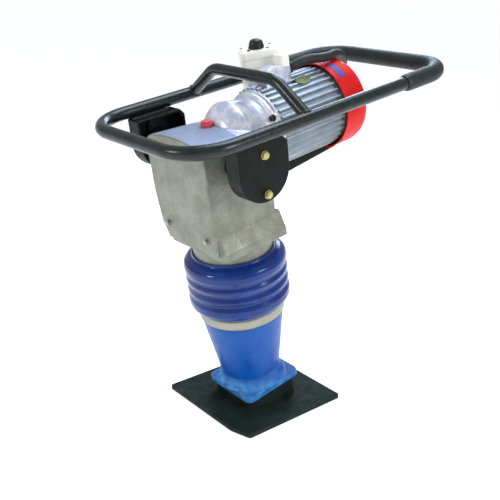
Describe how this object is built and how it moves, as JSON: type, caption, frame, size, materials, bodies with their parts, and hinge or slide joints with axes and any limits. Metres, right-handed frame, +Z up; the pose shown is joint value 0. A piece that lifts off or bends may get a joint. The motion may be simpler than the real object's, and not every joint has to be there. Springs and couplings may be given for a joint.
{
  "type": "jumping jack rammer",
  "caption": "Electric tamping rammer: square shoe, leaning blue leg with ribbed rubber bellows, cast gear case, finned motor with fan cover, and a looped handle on rubber mounts",
  "frame": {"origin": "centre of the shoe plate's sole, on the ground", "axes": "+Z up; -Y is the front, where the toe of the shoe and the front of the gear case are; +Y points to the operator's grip; +X is the machine's side that carries the case's flared foot. The leg axis leans 11 degrees from +Z towards -Y."},
  "size_m": [0.411, 0.7407, 0.8372],
  "materials": {
    "shoe_black": "worn semi-matte black paint on steel",
    "leg_blue": "bright blue enamel on a casting",
    "bellows_blue": "glossy royal blue moulded rubber",
    "ring_beige": "pale beige paint",
    "cast_grey": "silver paint over sand-cast aluminium",
    "motor_grey": "silver-grey painted cast fins",
    "steel": "machined steel",
    "spring_steel": "oiled spring wire",
    "bronze": "plain bronze bushing",
    "winding": "lacquered laminations and copper winding",
    "frame_black": "semi-gloss black enamel",
    "rubber_black": "matte black rubber",
    "fan_red": "red enamel on pressed sheet",
    "box_cream": "cream moulded plastic",
    "trim_black": "black moulded plastic",
    "brass": "zinc-yellow hexagon heads"
  },
  "bodies": {
    "foot": {"shoe_plate": "shoe_black", "shoe_bolt_1": "steel", "shoe_bolt_2": "steel", "shoe_bolt_3": "steel", "shoe_bolt_4": "steel", "leg_casting": "leg_blue", "bellows_ring": "ring_beige", "spring_tube": "steel", "spring_tube_cap": "steel", "lower_spring": "spring_steel", "upper_spring": "spring_steel", "bellows": "bellows_blue"},
    "machine": {"gear_case": "cast_grey", "front_cover": "cast_grey", "cover_bolt_1": "steel", "cover_bolt_2": "steel", "cover_bolt_3": "steel", "cover_bolt_4": "steel", "filler_plug": "fan_red", "guide_cylinder": "cast_grey", "lower_guide_bush": "bronze", "upper_guide_bush": "bronze", "front_crank_bearing": "steel", "rear_crank_bearing": "steel", "motor_shell": "motor_grey", "front_shield": "cast_grey", "front_motor_bearing": "steel", "stator_core": "winding", "rear_shield": "cast_grey", "rear_motor_bearing": "steel", "fan_cover": "fan_red", "motor_cradle": "frame_black", "terminal_box": "motor_grey", "switch_box": "box_cream", "switch_lid": "box_cream", "lead_gland": "trim_black", "motor_lead": "rubber_black", "supply_gland": "trim_black", "motor_inlet": "trim_black", "near_buffer": "rubber_black", "far_buffer": "rubber_black"},
    "crank": {"crankshaft": "steel", "crank_gear": "steel"},
    "rod": {"connecting_rod": "steel", "wrist_pin": "steel"},
    "piston": {"piston_rod": "steel"},
    "rotor": {"rotor_shaft": "steel", "cooling_fan": "trim_black"},
    "handle": {"handle_tube": "frame_black", "grip_sleeve": "rubber_black", "carry_hoop": "frame_black", "near_hanger": "frame_black", "far_hanger": "frame_black", "near_upper_mount_bolt": "brass", "near_lower_mount_bolt": "brass", "far_upper_mount_bolt": "brass", "far_lower_mount_bolt": "brass", "near_buffer_plate": "steel", "far_buffer_plate": "steel"},
    "knob": {"switch_knob": "trim_black"}
  },
  "joints": [
    {"name": "machine_lift", "type": "slide", "parent": "foot", "child": "machine", "axis": [0, -0.1908, 0.9816], "range_m": [0, 0.055], "deforming": ["bellows", "upper_spring", "lower_spring"]},
    {"name": "crank_spin", "type": "hinge", "parent": "machine", "child": "crank", "pos_m": [0, -0.10609, 0.54578], "axis": [0, 0.9816, 0.1908], "continuous": true},
    {"name": "rod_swing", "type": "hinge", "parent": "crank", "child": "rod", "pos_m": [0, -0.10914, 0.56149], "axis": [0, 0.9816, 0.1908], "continuous": true},
    {"name": "rotor_spin", "type": "hinge", "parent": "machine", "child": "rotor", "pos_m": [0, -0.12288, 0.63217], "axis": [0, 0.9816, 0.1908], "continuous": true},
    {"name": "piston_slide", "type": "slide", "parent": "machine", "child": "piston", "axis": [0, -0.1908, 0.9816], "range_m": [-0.032, 0]},
    {"name": "handle_sway", "type": "hinge", "parent": "machine", "child": "handle", "pos_m": [0, -0.15542, 0.61586], "axis": [1, 0, 0], "range_deg": [-3, 3], "stiffness_Nm_per_rad": 2000},
    {"name": "knob_turn", "type": "hinge", "parent": "machine", "child": "knob", "pos_m": [-0.04662, 0.01343, 0.81656], "axis": [0, -0.1908, 0.9816], "range_deg": [0, 90]}
  ],
  "couplings": [
    {"joint": "rod_swing", "follows": "crank_spin", "ratio": -1},
    {"joint": "rotor_spin", "follows": "crank_spin", "ratio": -5}
  ]
}
